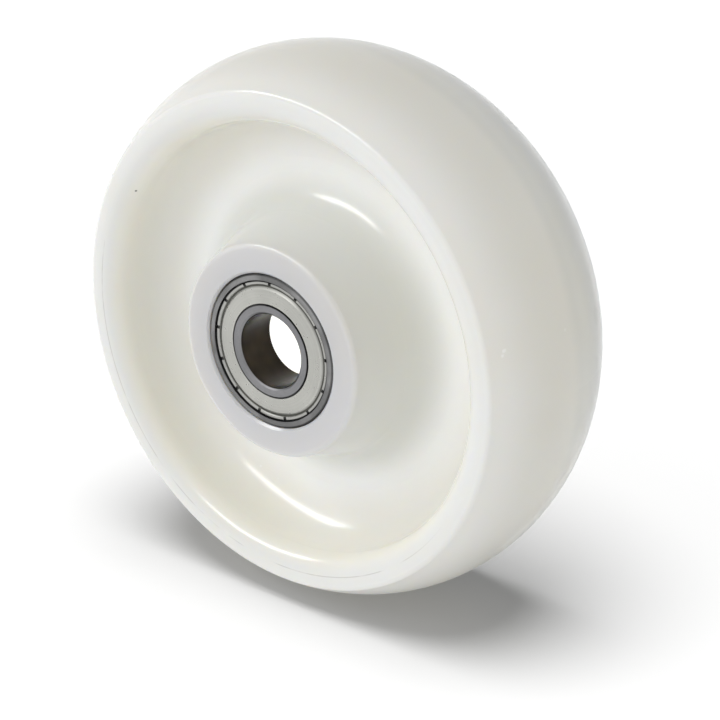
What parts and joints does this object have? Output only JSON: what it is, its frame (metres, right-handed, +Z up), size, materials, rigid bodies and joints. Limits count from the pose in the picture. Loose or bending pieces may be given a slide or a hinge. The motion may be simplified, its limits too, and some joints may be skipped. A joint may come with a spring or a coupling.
{
  "type": "ball bearing wheel",
  "caption": "One-piece nylon wheel with a domed tread, deep dished sides and a hub that turns on two shielded ball bearings.",
  "frame": {"origin": "centre of the wheel, on its axle line midway between the two bearings", "axes": "+Y along the axle towards the rear side, -Y towards the side the picture shows, +Z up, +X to the right seen from the front"},
  "size_m": [0.15, 0.056, 0.15],
  "materials": {
    "nylon": "natural white polyamide, satin gloss, slightly translucent",
    "bearing_steel": "ground bearing steel",
    "shield_steel": "pressed bright sheet steel",
    "cage_steel": "pressed sheet steel",
    "ball_steel": "polished bearing steel"
  },
  "bodies": {
    "inner_rings": {"front_inner_ring": "bearing_steel", "rear_inner_ring": "bearing_steel"},
    "wheel": {"wheel_body": "nylon", "front_outer_ring": "bearing_steel", "front_outer_shield": "shield_steel", "front_inner_shield": "shield_steel", "rear_outer_ring": "bearing_steel", "rear_outer_shield": "shield_steel", "rear_inner_shield": "shield_steel"},
    "front_cage": {"front_cage_outer_half": "cage_steel", "front_cage_inner_half": "cage_steel", "front_cage_rivets": "cage_steel"},
    "front_ball_1": {"front_ball_1": "ball_steel"},
    "front_ball_2": {"front_ball_2": "ball_steel"},
    "front_ball_3": {"front_ball_3": "ball_steel"},
    "front_ball_4": {"front_ball_4": "ball_steel"},
    "front_ball_5": {"front_ball_5": "ball_steel"},
    "front_ball_6": {"front_ball_6": "ball_steel"},
    "front_ball_7": {"front_ball_7": "ball_steel"},
    "front_ball_8": {"front_ball_8": "ball_steel"},
    "front_ball_9": {"front_ball_9": "ball_steel"},
    "rear_cage": {"rear_cage_outer_half": "cage_steel", "rear_cage_inner_half": "cage_steel", "rear_cage_rivets": "cage_steel"},
    "rear_ball_1": {"rear_ball_1": "ball_steel"},
    "rear_ball_2": {"rear_ball_2": "ball_steel"},
    "rear_ball_3": {"rear_ball_3": "ball_steel"},
    "rear_ball_4": {"rear_ball_4": "ball_steel"},
    "rear_ball_5": {"rear_ball_5": "ball_steel"},
    "rear_ball_6": {"rear_ball_6": "ball_steel"},
    "rear_ball_7": {"rear_ball_7": "ball_steel"},
    "rear_ball_8": {"rear_ball_8": "ball_steel"},
    "rear_ball_9": {"rear_ball_9": "ball_steel"}
  },
  "joints": [
    {"name": "wheel_spin", "type": "hinge", "parent": "inner_rings", "child": "wheel", "pos_m": [0, 0, 0], "axis": [0, 1, 0], "continuous": true},
    {"name": "front_cage_spin", "type": "hinge", "parent": "inner_rings", "child": "front_cage", "pos_m": [0, -0.0215, 0], "axis": [0, 1, 0], "continuous": true},
    {"name": "front_ball_1_spin", "type": "hinge", "parent": "front_cage", "child": "front_ball_1", "pos_m": [0.0155, -0.0215, 0], "axis": [0, 1, 0], "continuous": true},
    {"name": "front_ball_2_spin", "type": "hinge", "parent": "front_cage", "child": "front_ball_2", "pos_m": [0.01187, -0.0215, 0.00996], "axis": [0, 1, 0], "continuous": true},
    {"name": "front_ball_3_spin", "type": "hinge", "parent": "front_cage", "child": "front_ball_3", "pos_m": [0.00269, -0.0215, 0.01526], "axis": [0, 1, 0], "continuous": true},
    {"name": "front_ball_4_spin", "type": "hinge", "parent": "front_cage", "child": "front_ball_4", "pos_m": [-0.00775, -0.0215, 0.01342], "axis": [0, 1, 0], "continuous": true},
    {"name": "front_ball_5_spin", "type": "hinge", "parent": "front_cage", "child": "front_ball_5", "pos_m": [-0.01457, -0.0215, 0.0053], "axis": [0, 1, 0], "continuous": true},
    {"name": "front_ball_6_spin", "type": "hinge", "parent": "front_cage", "child": "front_ball_6", "pos_m": [-0.01457, -0.0215, -0.0053], "axis": [0, 1, 0], "continuous": true},
    {"name": "front_ball_7_spin", "type": "hinge", "parent": "front_cage", "child": "front_ball_7", "pos_m": [-0.00775, -0.0215, -0.01342], "axis": [0, 1, 0], "continuous": true},
    {"name": "front_ball_8_spin", "type": "hinge", "parent": "front_cage", "child": "front_ball_8", "pos_m": [0.00269, -0.0215, -0.01526], "axis": [0, 1, 0], "continuous": true},
    {"name": "front_ball_9_spin", "type": "hinge", "parent": "front_cage", "child": "front_ball_9", "pos_m": [0.01187, -0.0215, -0.00996], "axis": [0, 1, 0], "continuous": true},
    {"name": "rear_cage_spin", "type": "hinge", "parent": "inner_rings", "child": "rear_cage", "pos_m": [0, 0.0215, 0], "axis": [0, 1, 0], "continuous": true},
    {"name": "rear_ball_1_spin", "type": "hinge", "parent": "rear_cage", "child": "rear_ball_1", "pos_m": [0.0155, 0.0215, 0], "axis": [0, 1, 0], "continuous": true},
    {"name": "rear_ball_2_spin", "type": "hinge", "parent": "rear_cage", "child": "rear_ball_2", "pos_m": [0.01187, 0.0215, 0.00996], "axis": [0, 1, 0], "continuous": true},
    {"name": "rear_ball_3_spin", "type": "hinge", "parent": "rear_cage", "child": "rear_ball_3", "pos_m": [0.00269, 0.0215, 0.01526], "axis": [0, 1, 0], "continuous": true},
    {"name": "rear_ball_4_spin", "type": "hinge", "parent": "rear_cage", "child": "rear_ball_4", "pos_m": [-0.00775, 0.0215, 0.01342], "axis": [0, 1, 0], "continuous": true},
    {"name": "rear_ball_5_spin", "type": "hinge", "parent": "rear_cage", "child": "rear_ball_5", "pos_m": [-0.01457, 0.0215, 0.0053], "axis": [0, 1, 0], "continuous": true},
    {"name": "rear_ball_6_spin", "type": "hinge", "parent": "rear_cage", "child": "rear_ball_6", "pos_m": [-0.01457, 0.0215, -0.0053], "axis": [0, 1, 0], "continuous": true},
    {"name": "rear_ball_7_spin", "type": "hinge", "parent": "rear_cage", "child": "rear_ball_7", "pos_m": [-0.00775, 0.0215, -0.01342], "axis": [0, 1, 0], "continuous": true},
    {"name": "rear_ball_8_spin", "type": "hinge", "parent": "rear_cage", "child": "rear_ball_8", "pos_m": [0.00269, 0.0215, -0.01526], "axis": [0, 1, 0], "continuous": true},
    {"name": "rear_ball_9_spin", "type": "hinge", "parent": "rear_cage", "child": "rear_ball_9", "pos_m": [0.01187, 0.0215, -0.00996], "axis": [0, 1, 0], "continuous": true}
  ],
  "couplings": [
    {"joint": "front_cage_spin", "follows": "wheel_spin", "ratio": 0.60242},
    {"joint": "front_ball_1_spin", "follows": "wheel_spin", "ratio": 2.3385},
    {"joint": "front_ball_2_spin", "follows": "wheel_spin", "ratio": 2.3385},
    {"joint": "front_ball_3_spin", "follows": "wheel_spin", "ratio": 2.3385},
    {"joint": "front_ball_4_spin", "follows": "wheel_spin", "ratio": 2.3385},
    {"joint": "front_ball_5_spin", "follows": "wheel_spin", "ratio": 2.3385},
    {"joint": "front_ball_6_spin", "follows": "wheel_spin", "ratio": 2.3385},
    {"joint": "front_ball_7_spin", "follows": "wheel_spin", "ratio": 2.3385},
    {"joint": "front_ball_8_spin", "follows": "wheel_spin", "ratio": 2.3385},
    {"joint": "front_ball_9_spin", "follows": "wheel_spin", "ratio": 2.3385},
    {"joint": "rear_cage_spin", "follows": "wheel_spin", "ratio": 0.60242},
    {"joint": "rear_ball_1_spin", "follows": "wheel_spin", "ratio": 2.3385},
    {"joint": "rear_ball_2_spin", "follows": "wheel_spin", "ratio": 2.3385},
    {"joint": "rear_ball_3_spin", "follows": "wheel_spin", "ratio": 2.3385},
    {"joint": "rear_ball_4_spin", "follows": "wheel_spin", "ratio": 2.3385},
    {"joint": "rear_ball_5_spin", "follows": "wheel_spin", "ratio": 2.3385},
    {"joint": "rear_ball_6_spin", "follows": "wheel_spin", "ratio": 2.3385},
    {"joint": "rear_ball_7_spin", "follows": "wheel_spin", "ratio": 2.3385},
    {"joint": "rear_ball_8_spin", "follows": "wheel_spin", "ratio": 2.3385},
    {"joint": "rear_ball_9_spin", "follows": "wheel_spin", "ratio": 2.3385}
  ]
}
